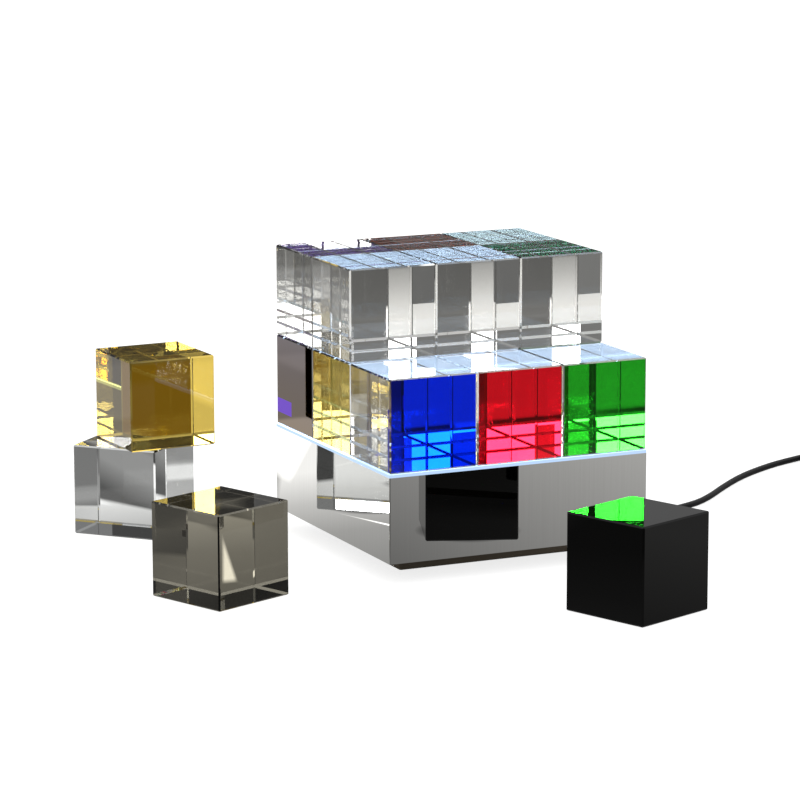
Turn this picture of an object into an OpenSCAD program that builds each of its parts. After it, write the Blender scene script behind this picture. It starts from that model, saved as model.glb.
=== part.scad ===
// Cube light: a mirror-polished base with a glowing top plate that carries loose glass cubes.
// Nine cubes stand on the plate, six clear ones stand on the middle and back rows, three more
// glass cubes and a solid black one stand beside the base.
// X runs along the front, Y to the back and Z up. The origin is the middle of the foot pad's underside.

/* [Glass cubes] */
// Side of a glass cube
cube_side = 50; // [40:1:60]
// Air gap between cubes that stand side by side
cube_gap = 0.2; // [0.1:0.05:0.5]
// Air film between two polished faces that lie on each other
seat_gap = 0.1; // [0.05:0.05:0.3]
// Bevel along a cube's edges
cube_bevel = 0.8; // [0.4:0.1:2]

/* [Cubes beside the base] */
// Side of the black cube, which is a little larger than the glass ones
black_side = 51.2; // [45:0.1:60]
// Clear way between the base's front and the black cube's corners
black_way = 61.6; // [20:0.1:100]
// Place of the black cube along the front
black_x = 17; // [-40:0.1:60]
// Turn of the black cube
black_turn = 20.9; // [0:0.1:90]
// Clear way between the base's left side and the smoke cube's corners
smoke_way = 51.2; // [20:0.1:100]
// Place of the smoke cube along the left side
smoke_y = -55.7; // [-80:0.1:-30]
// Turn of the smoke cube
smoke_turn = 22.1; // [0:0.1:90]
// Clear way between the base's left side and the grey cube's corners
grey_way = 37.2; // [20:0.1:100]
// Place of the grey cube along the left side
grey_y = 107.3; // [80:0.1:140]
// Turn of the grey cube
grey_turn = 43.2; // [0:0.1:90]
// Shift of the amber cube on the grey one, to the right
amber_shift_x = 10.3; // [0:0.1:15]
// Shift of the amber cube on the grey one, to the front
amber_shift_y = 7.1; // [0:0.1:15]
// Turn of the amber cube
amber_turn = 2.5; // [0:0.1:90]

/* [Base] */
// Ledge of the base around the block of cubes
base_margin = 0.45; // [0:0.05:5]
// Height of the mirror skin
skin_h = 45.9; // [40:0.1:80]
// Thickness of the mirror skin
skin_t = 1.5; // [1:0.1:3]
// Rounding of the skin's upright edges
skin_round = 0.6; // [0.2:0.1:1.5]
// Width of the flange that the skin turns in at its foot
flange_w = 20; // [18:0.5:26]
// Thickness of the plinth plate
plinth_h = 6.4; // [6:0.1:12]
// Setback of the plinth from the skin
plinth_inset = 10.2; // [6:0.1:12]
// Rounding of the plinth's corners
plinth_round = 4; // [1:0.5:10]
// Bevel under and over the plinth's edge
plinth_bevel = 0.8; // [0.3:0.1:1.5]
// Side of the foot pad
pad_side = 78; // [60:1:100]
// Height that the foot pad holds the plinth off the table
pad_h = 5; // [3:0.5:8]
// Depth of the pad's seat in the plinth
pad_sink = 1; // [0.5:0.1:2]
// Rounding of the pad's corners
pad_round = 8; // [2:1:20]

/* [Fasteners] */
// Thread of the base screws
screw_d = 3; // [2:0.5:4]
// Head of the base screws
screw_head_d = 5.5; // [5:0.1:6.5]
// Height of the base screws' heads
screw_head_h = 2; // [1.5:0.1:2.5]
// Side of a corner nut block
nut_side = 9.6; // [8:0.1:9.8]
// Height of a corner nut block
nut_h = 8; // [5:0.5:12]

/* [Light] */
// Glowing edge of the diffuser above the skin
lip_h = 1.7; // [1:0.1:4]
// Depth of the diffuser's step inside the skin
step_h = 1.3; // [1:0.1:3]
// Lamps along each side of the board
led_rows = 6; // [3:1:8]
// Side of a lamp
led_side = 5; // [2.8:0.1:6]
// Height of a lamp
led_h = 1.4; // [0.8:0.1:3]
// Thickness of the circuit boards
board_t = 1.6; // [1:0.1:2.4]
// Clear way between the lamp board and the light frame
board_gap = 6.25; // [2:0.25:10]
// Border of the lamp board around its outer lamps
board_border = 11; // [8:0.5:14]
// Thickness of the aluminium deck
deck_t = 2; // [1.5:0.1:4]
// Height of the deck above the plinth
deck_rise = 22.6; // [21:0.1:30]
// Wall of the white light frame
frame_t = 1.6; // [1:0.1:2.5]

/* [Driver] */
// Length of the driver board
driver_l = 74; // [60:1:78]
// Width of the driver board
driver_w = 44; // [30:1:50]
// Height of the spacers under the driver board
spacer_h = 6; // [4:0.5:8]
// Diameter of the choke
choke_d = 16; // [10:1:18]
// Height of the choke
choke_h = 11; // [8:0.5:12]
// Diameter of a capacitor
cap_d = 8; // [6:0.5:10]
// Height of a capacitor
cap_h = 12; // [8:0.5:12]

/* [Lead] */
// Diameter of the lead
cord_d = 3.6; // [3:0.1:4.2]
// Length of the boot outside the plinth
boot_l = 14; // [8:0.5:20]
// Thickness of the boot's wall where it leaves the plinth
boot_wall = 1.2; // [1:0.1:1.4]
// Turns in each of the coil's two layers
coil_turns = 4.5; // [3.5:1:5.5]
// Mean radius of the coil
coil_mean_r = 21; // [18:0.1:24]
// Air between the coil's turns, and between its layers
coil_air = 0.5; // [0.5:0.1:2]
// Thickness of the strap that ties the coil
tie_t = 0.8; // [0.5:0.1:1.5]
// Width of the strap
tie_w = 6; // [4:0.5:12]
// Length of the plug's moulded grip
grip_l = 24; // [18:1:30]
// Width of the plug's moulded grip
grip_w = 15.5; // [14:0.5:18]
// Thickness of the plug's moulded grip
grip_h = 8; // [6.5:0.5:10]

/* [Hidden] */
$fn = 48;

// Number of cubes along each side of the block
block_n = 3;
// Distance between the middles of two neighbouring cubes
cube_pitch = cube_side + cube_gap;
// Radius of the circle that a cube turns in
cube_reach = cube_side * sqrt(2) / 2;
black_reach = black_side * sqrt(2) / 2;
block_w = block_n * cube_side + (block_n - 1) * cube_gap;
base_w = block_w + 2 * base_margin;
base_half = base_w / 2;

// Levels from the table up
plinth_z = pad_h;
skin_z = plinth_z + plinth_h;
lip_z = skin_z + skin_h;
lower_z = lip_z + lip_h + seat_gap;
upper_z = lower_z + cube_side + seat_gap;
stack_z = cube_side + seat_gap;
deck_z = skin_z + deck_rise;
board_z = deck_z + deck_t;
lamp_z = board_z + board_t;
driver_z = skin_z + spacer_h;
driver_top = driver_z + board_t;

// Clearances: around pieces that drop into place, and around screws
drop_fit = 0.3;
screw_fit = 0.3;
// Overrun of a cutting tool past the face that it cuts
over = 1;

plinth_side = base_w - 2 * plinth_inset;
flange_open = base_w - 2 * flange_w;
skin_inside = base_w - 2 * skin_t;
inner_side = skin_inside - 2 * drop_fit;
screw_r = screw_d / 2;
screw_hole_r = screw_r + screw_fit;
screw_head_r = screw_head_d / 2;
screw_tail = 1.5;
// Depth of the head's seat, and of the six-sided drive in the head
head_sunk = 0.6;
drive_depth = 1.2;
drive_share = 0.46;
// The base screws stand halfway between the flange's opening and the plinth's edge
base_screw_at = (flange_open / 2 + plinth_side / 2) / 2;
// The lamps share the board's width evenly between its borders
lamp_board_side = inner_side - 2 * frame_t - 2 * board_gap;
lamp_span = lamp_board_side - 2 * board_border;
led_pitch = lamp_span / (led_rows - 1);
dish_share = 0.38;
dish_r = led_side * dish_share;
dish_depth = 0.5;

// Four pillars between the plinth and the deck, halfway between the two outer rows of lamps
pillar_r = 3;
pillar_at = (led_rows / 2 - 1) * led_pitch;
pillar_screw_r = 1.5;
pan_head_r = 2.8;
pan_head_h = 1.8;
pan_bite = 4;
wire_hole_r = 4;
wire_d = 1.6;
wire_apart = 2.6;
socket_l = 8;
socket_w = 6;
socket_h = 3.4;

// Parts on the driver board
spacer_r = 2.4;
spacer_inset = 4;
terminal_l = 10;
terminal_w = 12;
terminal_h = 9;
terminal_chamfer = 1.5;
output_h = 8;
output_side = 8;
chip_l = 9;
chip_w = 6;
chip_h = 1.8;
chip_legs = 4;
leg_w = 0.5;
leg_out = 1.2;
leg_t = 0.3;
choke_flange = 1.8;
choke_neck_share = 0.72;
cap_groove = 0.4;
cap_bead_share = 0.14;

// Lead inside the plinth: a pocket lets it turn up into the base
lead_z = plinth_z + plinth_h / 2;
cord_r = cord_d / 2;
neck_fit = 0.3;
neck_wall = 0.3;
collar_wall = 0.9;
tip_wall = 0.6;
neck_r = cord_r + neck_wall;
neck_l = 9;
collar_r = cord_r + collar_wall;
collar_l = 2;
bend_r = 5;
boot_r = cord_r + boot_wall;
boot_tip_r = cord_r + tip_wall;
lead_up_x = plinth_side / 2 - neck_l - collar_l - bend_r;
// Pocket in the plinth around the collar and the bend
pocket_far = plinth_side / 2 - neck_l;
pocket_near = lead_up_x - cord_d;
pocket_fit = 1;
pocket_w = 2 * (collar_r + pocket_fit);
pocket_floor = 0.4;
boot_ribs = 3;
boot_rib_gap = 1.2;
boot_rib_depth = 0.4;

// Plug: a flat metal shell with a tongue inside
shell_w = 12;
shell_h = 4.5;
shell_l = 12;
shell_t = 0.4;
shell_root = 3;
window_w = 2.2;
window_at = 2.9;
tongue_h = 1.9;
tongue_short = 1.2;
grip_round = 2.4;
plug_boot_l = 12;
plug_boot_r = 3.2;

// Free lead: leaves the boot, drops to the table, passes behind the black cube, swings to the back
// and meets the coil. Millimetres from the boot's tip in plan, one ring of the tube at each point.
lead_sides = 8;
tie_fit = 0.2;
lead_plan = [
    [0, 0], [3.6, 0], [10.5, 0.1], [17.5, 0.5], [25, 1.3], [32.5, 2.6], [41.5, 4.8], [50.5, 7.7],
    [59.5, 11.2], [68, 14.6], [75.5, 17.8], [82.5, 21.3], [89.5, 26], [96.5, 31.6], [104, 38.3],
    [111.5, 45.4], [119.5, 52.7], [127.5, 59.8], [136, 66.9], [144.5, 73.4], [153.5, 79.5],
    [162.5, 85], [171.5, 90.1], [180.5, 94.6], [189.5, 98.4], [198.5, 101.3], [207.5, 103.3],
    [216, 104.3], [221.4, 104.5], [225, 104.5]];
// How far the first points still are above the table, as shares of the boot's height
drop_shares = [1, 1, 0.83, 0.44, 0.12, 0];
// How far the last points have come up to the coil, as shares of its lift
rise_shares = [0, 0.2, 0.6, 1, 1, 1];
lead_start = plinth_side / 2 + boot_l;
// The strap runs under the coil and holds it off the table
coil_first_z = tie_t + tie_fit + cord_r;
lead_last = len(lead_plan) - 1;
lead_route = [for (i = [0:lead_last])
    let (drop = i < len(drop_shares) ? drop_shares[i] : 0,
        j = i - lead_last + len(rise_shares) - 1, rise = j < 0 ? 0 : rise_shares[j])
    [lead_start + lead_plan[i][0], lead_plan[i][1],
        cord_r + (lead_z - cord_r) * drop + (coil_first_z - cord_r) * rise]];

// Coil of the put-away length: wound inwards on the table, outwards on top of itself
coil_sides = 6;
coil_steps = 24;
coil_pitch = cord_d + coil_air;
coil_reach = coil_turns * coil_pitch / 2;
coil_in_r = coil_mean_r - coil_reach;
coil_out_r = coil_mean_r + coil_reach;
coil_x = lead_route[lead_last][0] + cord_d;
coil_y = lead_route[lead_last][1] - coil_out_r;
climb_share = 0.25;
// The last quarter turn opens out to the plug beside the coil
tail_out = 12;
tail_steps = 6;
plug_x = coil_x + coil_out_r + tail_out;
plug_y = coil_y - cord_d;
plug_z = grip_h / 2;
tie_round = 1.5;
// Inner and outer reach of the strap's loop from the coil's middle
tie_in = sqrt(pow(coil_in_r - cord_r, 2) - pow(tie_w / 2, 2)) - tie_fit;
tie_out = coil_out_r - coil_pitch / 2 + cord_r + tie_fit;

// Square with round corners
module round_square(side, r) {
    square([side - 2 * r, side], center = true);
    square([side, side - 2 * r], center = true);
    for (x = [-1, 1], y = [-1, 1])
        translate([x * (side / 2 - r), y * (side / 2 - r)])
            circle(r);
}

// Rectangle with round corners
module round_rect(l, w, r) {
    square([l - 2 * r, w], center = true);
    square([l, w - 2 * r], center = true);
    for (x = [-1, 1], y = [-1, 1])
        translate([x * (l / 2 - r), y * (w / 2 - r)])
            circle(r);
}

// Square with its corners cut off at 45 degrees
module cut_square(side, cut) {
    h = side / 2;
    k = h - cut;
    polygon([[-h, -k], [-k, -h], [k, -h], [h, -k], [h, k], [k, h], [-k, h], [-h, k]]);
}

// Cube with a small bevel on all its edges, standing on the plane below it
module bevelled_cube(side) {
    translate([0, 0, side / 2])
        intersection() {
            linear_extrude(side, center = true)
                cut_square(side, cube_bevel);
            rotate([90, 0, 0])
                linear_extrude(side, center = true)
                    cut_square(side, cube_bevel);
            rotate([0, 90, 0])
                linear_extrude(side, center = true)
                    cut_square(side, cube_bevel);
        }
}

// A cube of the block: column 0 is the left one, row 0 the front one
module block_cube(column, row, z) {
    middle = (block_n - 1) / 2;
    translate([(column - middle) * cube_pitch, (row - middle) * cube_pitch, z])
        bevelled_cube(cube_side);
}

// Four copies at the corners of a square
module at_corners(at) {
    for (x = [-1, 1], y = [-1, 1])
        translate([x * at, y * at])
            children();
}

// Four copies at the corners of a rectangle
module at_rect(x_at, y_at) {
    for (x = [-1, 1], y = [-1, 1])
        translate([x * x_at, y * y_at])
            children();
}

// Rubber pad that the base stands on, seated in the plinth
module foot_pad() color("#1d1d1d") {
    linear_extrude(pad_h + pad_sink)
        round_square(pad_side, pad_round);
}

// Brushed metal plate between the pad and the skin
module plinth() color("#6d675f") {
    difference() {
        intersection() {
            translate([0, 0, plinth_z])
                linear_extrude(plinth_h)
                    round_square(plinth_side, plinth_round);
            plinth_bevels();
        }
        translate([0, 0, plinth_z - over])
            linear_extrude(pad_sink + over)
                round_square(pad_side + 2 * drop_fit, pad_round);
        at_corners(base_screw_at) {
            translate([0, 0, plinth_z - over])
                cylinder(r = screw_hole_r, h = plinth_h + 2 * over);
            translate([0, 0, plinth_z - over])
                cylinder(r = screw_head_r + screw_fit, h = head_sunk + screw_head_h + over);
        }
        translate([plinth_side / 2 - neck_l - over, 0, lead_z])
            rotate([0, 90, 0])
                cylinder(r = neck_r + neck_fit, h = neck_l + 2 * over);
        translate([pocket_near, -pocket_w / 2, plinth_z + pocket_floor])
            cube([pocket_far - pocket_near, pocket_w, plinth_h]);
    }
}

// Outline of the plinth's bevels, seen from the front and from the side
module plinth_bevels() {
    h = plinth_side / 2;
    k = h - plinth_bevel;
    z1 = plinth_z;
    z2 = skin_z;
    outline = [
        [-h, z1 + plinth_bevel], [-k, z1], [k, z1], [h, z1 + plinth_bevel],
        [h, z2 - plinth_bevel], [k, z2], [-k, z2], [-h, z2 - plinth_bevel]];
    intersection() {
        rotate([90, 0, 0])
            linear_extrude(plinth_side + over, center = true)
                polygon(outline);
        rotate([90, 0, 90])
            linear_extrude(plinth_side + over, center = true)
                polygon(outline);
    }
}

// Mirror-polished sheet box, open at the top, with a flange turned in at its foot
module mirror_skin() color("#c9c9c7") {
    difference() {
        translate([0, 0, skin_z])
            linear_extrude(skin_h)
                round_square(base_w, skin_round);
        translate([0, 0, skin_z + skin_t + skin_h / 2])
            cube([skin_inside, skin_inside, skin_h], center = true);
        translate([0, 0, skin_z])
            cube([flange_open, flange_open, 2 * skin_t + over], center = true);
        translate([0, 0, skin_z - over])
            at_corners(base_screw_at)
                cylinder(r = screw_hole_r, h = skin_t + 2 * over);
    }
}

// Threaded blocks in the corners of the flange
module nut_blocks() color("#b5a642") {
    translate([0, 0, skin_z + skin_t])
        at_corners(base_screw_at)
            difference() {
                linear_extrude(nut_h)
                    square(nut_side, center = true);
                translate([0, 0, -over])
                    cylinder(r = screw_hole_r, h = nut_h + 2 * over);
            }
}

// Screws from below, through the plinth and the flange into the nut blocks, their heads sunk
module base_screws() color("#8c8c8c") {
    length = plinth_h - head_sunk + skin_t + nut_h - screw_tail;
    translate([0, 0, plinth_z + head_sunk])
        at_corners(base_screw_at)
            difference() {
                union() {
                    cylinder(r = screw_head_r, h = screw_head_h);
                    cylinder(r = screw_r, h = length);
                }
                translate([0, 0, -over])
                    rotate(45)
                        linear_extrude(drive_depth + over)
                            six_sided(screw_head_r * drive_share);
            }
}

// Outline of a six-sided drive
module six_sided(r) {
    polygon([for (k = [0:5]) r * [cos(60 * k), sin(60 * k)]]);
}

// Pillars that carry the deck
module pillars() color("#c0c0c0") {
    translate([0, 0, skin_z])
        at_corners(pillar_at)
            difference() {
                cylinder(r = pillar_r, h = deck_rise);
                translate([0, 0, deck_rise / 2])
                    cylinder(r = pillar_screw_r + screw_fit, h = deck_rise);
            }
}

// Aluminium deck under the lamp board, which takes up its heat
module deck() color("#a9adb1") {
    difference() {
        translate([0, 0, deck_z])
            linear_extrude(deck_t)
                square(inner_side, center = true);
        translate([0, 0, deck_z - over]) {
            at_corners(pillar_at)
                cylinder(r = pillar_screw_r + screw_fit, h = deck_t + 2 * over);
            cylinder(r = wire_hole_r, h = deck_t + 2 * over);
        }
    }
}

// Pan-head screws that hold the lamp board and the deck to the pillars
module deck_screws() color("#8c8c8c") {
    shank = board_t + deck_t + pan_bite;
    at_corners(pillar_at) {
        translate([0, 0, lamp_z])
            cylinder(r = pan_head_r, h = pan_head_h);
        translate([0, 0, lamp_z - shank])
            cylinder(r = pillar_screw_r, h = shank);
    }
}

// White lamp board on the deck
module lamp_board() color("#f2f2ee") {
    difference() {
        translate([0, 0, board_z])
            linear_extrude(board_t)
                square(lamp_board_side, center = true);
        translate([0, 0, board_z - over]) {
            at_corners(pillar_at)
                cylinder(r = pillar_screw_r + screw_fit, h = board_t + 2 * over);
            cylinder(r = wire_apart / 2 + wire_d, h = board_t + 2 * over);
        }
    }
}

// Square grid of lamps, each with a round dish
module lamps() color("#fff3c4") {
    for (i = [0:led_rows - 1], j = [0:led_rows - 1])
        translate([i * led_pitch - lamp_span / 2, j * led_pitch - lamp_span / 2, lamp_z])
            difference() {
                linear_extrude(led_h)
                    square(led_side, center = true);
                translate([0, 0, led_h - dish_depth])
                    cylinder(r = dish_r, h = dish_depth + over, $fn = 24);
            }
}

// Small socket in the middle of the lamp board that takes the two wires
module lamp_socket() color("#f7f7f2") {
    translate([0, 0, lamp_z])
        linear_extrude(socket_h)
            square([socket_l, socket_w + wire_d], center = true);
}

// White frame that closes the light box between the deck and the diffuser
module light_frame() color("#ffffff") {
    difference() {
        translate([0, 0, board_z])
            linear_extrude(lip_z - step_h - board_z)
                square(inner_side, center = true);
        translate([0, 0, board_z - over])
            linear_extrude(skin_h)
                square(inner_side - 2 * frame_t, center = true);
    }
}

// Opal plate: its lip lies on the skin's edge and glows all round, its step sits inside the skin
module diffuser() color("#dff0ff") {
    translate([0, 0, lip_z])
        linear_extrude(lip_h)
            round_square(base_w, skin_round);
    translate([0, 0, lip_z - step_h])
        linear_extrude(step_h)
            square(inner_side, center = true);
}

// Driver circuit on the plinth
module driver_board() color("#1f6b3a") {
    difference() {
        translate([0, 0, driver_z])
            linear_extrude(board_t)
                square([driver_l, driver_w], center = true);
        translate([0, 0, driver_z - over])
            at_rect(driver_l / 2 - spacer_inset, driver_w / 2 - spacer_inset)
                cylinder(r = screw_r, h = board_t + 2 * over);
    }
}

// Spacers under the driver board, each with a pin through the board
module driver_spacers() color("#e8e8e8") {
    translate([0, 0, skin_z])
        at_rect(driver_l / 2 - spacer_inset, driver_w / 2 - spacer_inset) {
            cylinder(r = spacer_r, h = spacer_h);
            cylinder(r = screw_r - screw_fit, h = spacer_h + 2 * board_t);
        }
}

// Terminal block for the lead, with its far top edge cut
module terminal_block() {
    rotate([90, 0, 0])
        linear_extrude(terminal_w, center = true)
            polygon([
                [0, 0], [terminal_l, 0], [terminal_l, terminal_h], [terminal_chamfer, terminal_h],
                [0, terminal_h - terminal_chamfer]]);
}

// Choke: a drum core with two flanges, its winding between them
module choke() {
    r = choke_d / 2;
    rotate_extrude()
        polygon([
            [0, 0], [r, 0], [r, choke_flange], [r * choke_neck_share, choke_flange],
            [r * choke_neck_share, choke_h - choke_flange], [r, choke_h - choke_flange],
            [r, choke_h], [0, choke_h]]);
}

// Capacitor: a can with the rolled groove near its foot
module capacitor() {
    r = cap_d / 2;
    bead = cap_h * cap_bead_share;
    rotate_extrude()
        polygon([
            [0, 0], [r, 0], [r, bead], [r - cap_groove, bead + cap_groove],
            [r, bead + 2 * cap_groove], [r, cap_h - cap_groove], [r - cap_groove, cap_h], [0, cap_h]]);
}

// Control chip on its legs
module chip() {
    translate([0, 0, leg_t])
        linear_extrude(chip_h)
            square([chip_l, chip_w], center = true);
    for (i = [0:chip_legs - 1], side = [-1, 1])
        translate([(i - (chip_legs - 1) / 2) * chip_l / chip_legs, side * chip_w / 2, leg_t])
            cube([leg_w, 2 * leg_out, 2 * leg_t], center = true);
}

// Everything that is soldered to the driver board
module driver_parts() color("#3a3a3a") {
    translate([0, 0, driver_top]) {
        translate([driver_l / 2 - terminal_l, 0])
            terminal_block();
        linear_extrude(output_h)
            square(output_side, center = true);
        translate([-driver_l / 4, 0])
            choke();
        for (side = [-1, 1])
            translate([driver_l / 5, side * driver_w / 4])
                capacitor();
        translate([-driver_l / 4, -driver_w / 2 + chip_w + spacer_inset / 2])
            chip();
    }
}

// Two wires from the driver up to the lamp board's socket
module driver_wires() color("#b03030") {
    from = driver_top + output_h;
    for (side = [-1, 1])
        translate([0, side * wire_apart / 2, from])
            cylinder(d = wire_d, h = lamp_z - from);
}

// Lead inside the base: out of the boot, up past the driver board and into its terminal
module inner_lead() color("#161616") {
    top_z = driver_top + terminal_h / 2;
    foot_x = lead_up_x + bend_r;
    translate([foot_x - bend_r, 0, lead_z + bend_r])
        cylinder(r = cord_r, h = top_z - lead_z - 2 * bend_r);
    translate([foot_x, 0, lead_z + bend_r])
        lead_bend(180);
    translate([lead_up_x - bend_r, 0, top_z - bend_r])
        lead_bend(0);
    translate([driver_l / 2, 0, top_z])
        rotate([0, 90, 0])
            cylinder(r = cord_r, h = lead_up_x - bend_r - driver_l / 2);
}

// Quarter bend of the lead, upright in the plane of X and Z
module lead_bend(start) {
    rotate([90, 0, 0])
        rotate([0, 0, start])
            rotate_extrude(angle = 90)
                translate([bend_r, 0])
                    circle(cord_r);
}

// Soft boot that leads the cord out of the plinth, held inside by a collar
module lead_boot() color("#121212") {
    step = boot_l / (boot_ribs + 1);
    slope = (boot_r - boot_tip_r) / boot_l;
    ribs = [for (i = [1:boot_ribs]) let (x = i * step - boot_rib_gap, r = boot_r - slope * x)
        each [[r, x], [r - boot_rib_depth, x], [r - boot_rib_depth, x + boot_rib_gap],
            [r - slope * boot_rib_gap, x + boot_rib_gap]]];
    translate([plinth_side / 2, 0, lead_z])
        rotate([0, 90, 0])
            rotate_extrude()
                polygon(concat(
                    [[0, -neck_l - collar_l], [collar_r, -neck_l - collar_l], [collar_r, -neck_l],
                        [neck_r, -neck_l], [neck_r, 0], [boot_r, 0]],
                    ribs, [[boot_tip_r, boot_l], [0, boot_l]]));
}

// Direction of a path at one of its points
function along(path, i) =
    let (d = path[min(i + 1, len(path) - 1)] - path[max(i - 1, 0)]) d / norm(d);

// Ring of points round a path, square to it
function ring(p, dir, r, sides) =
    let (side = cross([0, 0, 1], dir) / norm(cross([0, 0, 1], dir)), up = cross(dir, side))
    [for (k = [0:sides - 1]) p + r * (cos(360 * (k + 0.5) / sides) * side + sin(360 * (k + 0.5) / sides) * up)];

// Round tube along a path, of triangles only
module tube(path, r, sides) {
    n = len(path);
    points = [for (i = [0:n - 1]) each ring(path[i], along(path, i), r, sides)];
    walls = [for (i = [0:n - 2], k = [0:sides - 1])
        let (a = i * sides + k, b = i * sides + (k + 1) % sides)
        each [[a, b + sides, b], [a, a + sides, b + sides]]];
    caps = [for (k = [1:sides - 2])
        each [[0, k, k + 1], [(n - 1) * sides, (n - 1) * sides + k + 1, (n - 1) * sides + k]]];
    polyhedron(points = points, faces = concat(walls, caps));
}

// Radius of the coil after u turns: in on the first layer, out on the second
function coil_r(u) = coil_in_r + coil_pitch * abs(coil_turns - u);

// Height of the coil after u turns: it climbs a layer in the half turn where the spiral reverses
function coil_z(u) =
    let (s = min(1, max(0, (u - coil_turns + climb_share) / (2 * climb_share))))
    coil_first_z + coil_pitch * s * s * (3 - 2 * s);

// The coil runs clockwise, seen from above, from its top side
function coil_point(u) =
    let (a = 90 - 360 * u) [coil_x + coil_r(u) * cos(a), coil_y + coil_r(u) * sin(a), coil_z(u)];

// After its last turn the lead opens out and comes down to the plug
function tail_point(s) =
    let (a = 90 - 90 * s, r = coil_out_r + tail_out * s * s * (3 - 2 * s),
        top = coil_first_z + coil_pitch, z = top + (plug_z - top) * s * s * (3 - 2 * s))
    [coil_x + r * cos(a), coil_y + r * sin(a), z];

coil_path = concat(
    [lead_route[len(lead_route) - 1]],
    [for (i = [0:2 * coil_turns * coil_steps]) coil_point(i / coil_steps)],
    [for (i = [1:tail_steps]) tail_point(i / tail_steps)],
    [[plug_x, plug_y, plug_z]]);

// Length of a path
function path_length(path) = [for (i = [1:len(path) - 1]) norm(path[i] - path[i - 1])] * [for (i = [1:len(path) - 1]) 1];

// Least gap between stretches of the coil that lie half a turn or more apart
function coil_gap(path) = min([for (i = [0:len(path) - 1 - coil_steps / 2])
    min([for (j = [i + coil_steps / 2:len(path) - 1]) norm(path[i] - path[j])])]) - cord_d;

// Free stretch of the lead between the boot and the coil
module lead() color("#161616") {
    echo(free_length = path_length(lead_route), whole_length = path_length(lead_route) + path_length(coil_path));
    tube(lead_route, cord_r, lead_sides);
}

// The put-away length in its turns, and the tail to the plug
module lead_coil() color("#161616") {
    echo(coil_gap = coil_gap(coil_path));
    tube(coil_path, cord_r, coil_sides);
}

// Strap round the coil's front side
module coil_tie() color("#2b2b2b") {
    wide = tie_out - tie_in;
    high = coil_pitch + cord_d + 2 * tie_fit;
    translate([coil_x, coil_y - (tie_in + tie_out) / 2, high / 2 + tie_t])
        rotate([90, 0, 90])
            linear_extrude(tie_w, center = true)
                difference() {
                    round_rect(wide + 2 * tie_t, high + 2 * tie_t, tie_round);
                    round_rect(wide, high, tie_round - tie_t);
                }
}

// Moulded grip of the plug with its tapered boot
module plug_grip() color("#141414") {
    translate([plug_x, plug_y, plug_z])
        rotate([90, 0, 0]) {
            cylinder(r1 = boot_tip_r, r2 = plug_boot_r, h = plug_boot_l);
            translate([0, 0, plug_boot_l])
                linear_extrude(grip_l)
                    round_rect(grip_w, grip_h, grip_round);
        }
}

// Metal shell of the plug with its two latch windows above and below
module plug_shell() color("#bfc3c7") {
    translate([plug_x, plug_y - plug_boot_l - grip_l, plug_z])
        rotate([90, 0, 0])
            difference() {
                linear_extrude(shell_l)
                    square([shell_w, shell_h], center = true);
                translate([0, 0, shell_t])
                    linear_extrude(shell_l)
                        square([shell_w - 2 * shell_t, shell_h - 2 * shell_t], center = true);
                for (side = [-1, 1])
                    translate([side * window_at, 0, shell_l / 2])
                        cube([window_w, shell_h + over, window_w], center = true);
            }
}

// Tongue of the plug that carries its contacts
module plug_tongue() color("#e9e9e4") {
    translate([plug_x, plug_y - plug_boot_l - grip_l, plug_z])
        rotate([90, 0, 0])
            translate([0, shell_h / 2 - shell_t - tongue_h / 2, shell_t])
                linear_extrude(shell_l - shell_t - tongue_short)
                    square([shell_w - 2 * shell_t, tongue_h], center = true);
}

// Cubes of the lower layer, three to a row
module blue_cube() color("#1030c8", 0.8) block_cube(0, 0, lower_z);
module red_cube() color("#c00828", 0.8) block_cube(1, 0, lower_z);
module green_cube() color("#08901c", 0.8) block_cube(2, 0, lower_z);
module yellow_cube() color("#d9c86a", 0.6) block_cube(0, 1, lower_z);
module pale_cube() color("#dfe9f5", 0.5) block_cube(1, 1, lower_z);
module jade_cube() color("#1f6b45", 0.6) block_cube(2, 1, lower_z);
module purple_cube() color("#6a4fb0", 0.6) block_cube(0, 2, lower_z);
module brown_cube() color("#6b3a30", 0.6) block_cube(1, 2, lower_z);
module opal_cube() color("#b9c9ea", 0.5) block_cube(2, 2, lower_z);

// Clear cubes of the upper layer, on the middle and back rows
module clear_left() color("#e6ebec", 0.4) block_cube(0, 1, upper_z);
module clear_middle() color("#e6ebec", 0.4) block_cube(1, 1, upper_z);
module clear_right() color("#e6ebec", 0.4) block_cube(2, 1, upper_z);
module clear_back_left() color("#e6ebec", 0.4) block_cube(0, 2, upper_z);
module clear_back_middle() color("#e6ebec", 0.4) block_cube(1, 2, upper_z);
module clear_back_right() color("#e6ebec", 0.4) block_cube(2, 2, upper_z);

// A cube that stands by itself on the table
module loose_cube(side, x, y, turn) {
    translate([x, y])
        rotate(turn)
            bevelled_cube(side);
}

grey_x = -base_half - grey_way - cube_reach;
smoke_x = -base_half - smoke_way - cube_reach;
black_y = -base_half - black_way - black_reach;

module grey_cube() color("#9a9a98", 0.5) loose_cube(cube_side, grey_x, grey_y, grey_turn);
module smoke_cube() color("#5f5c55", 0.7) loose_cube(cube_side, smoke_x, smoke_y, smoke_turn);
module black_cube() color("#0b0b0d") loose_cube(black_side, black_x, black_y, black_turn);
module amber_cube() color("#9a7410", 0.8)
    translate([0, 0, stack_z])
        loose_cube(cube_side, grey_x + amber_shift_x, grey_y - amber_shift_y, amber_turn);

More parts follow.
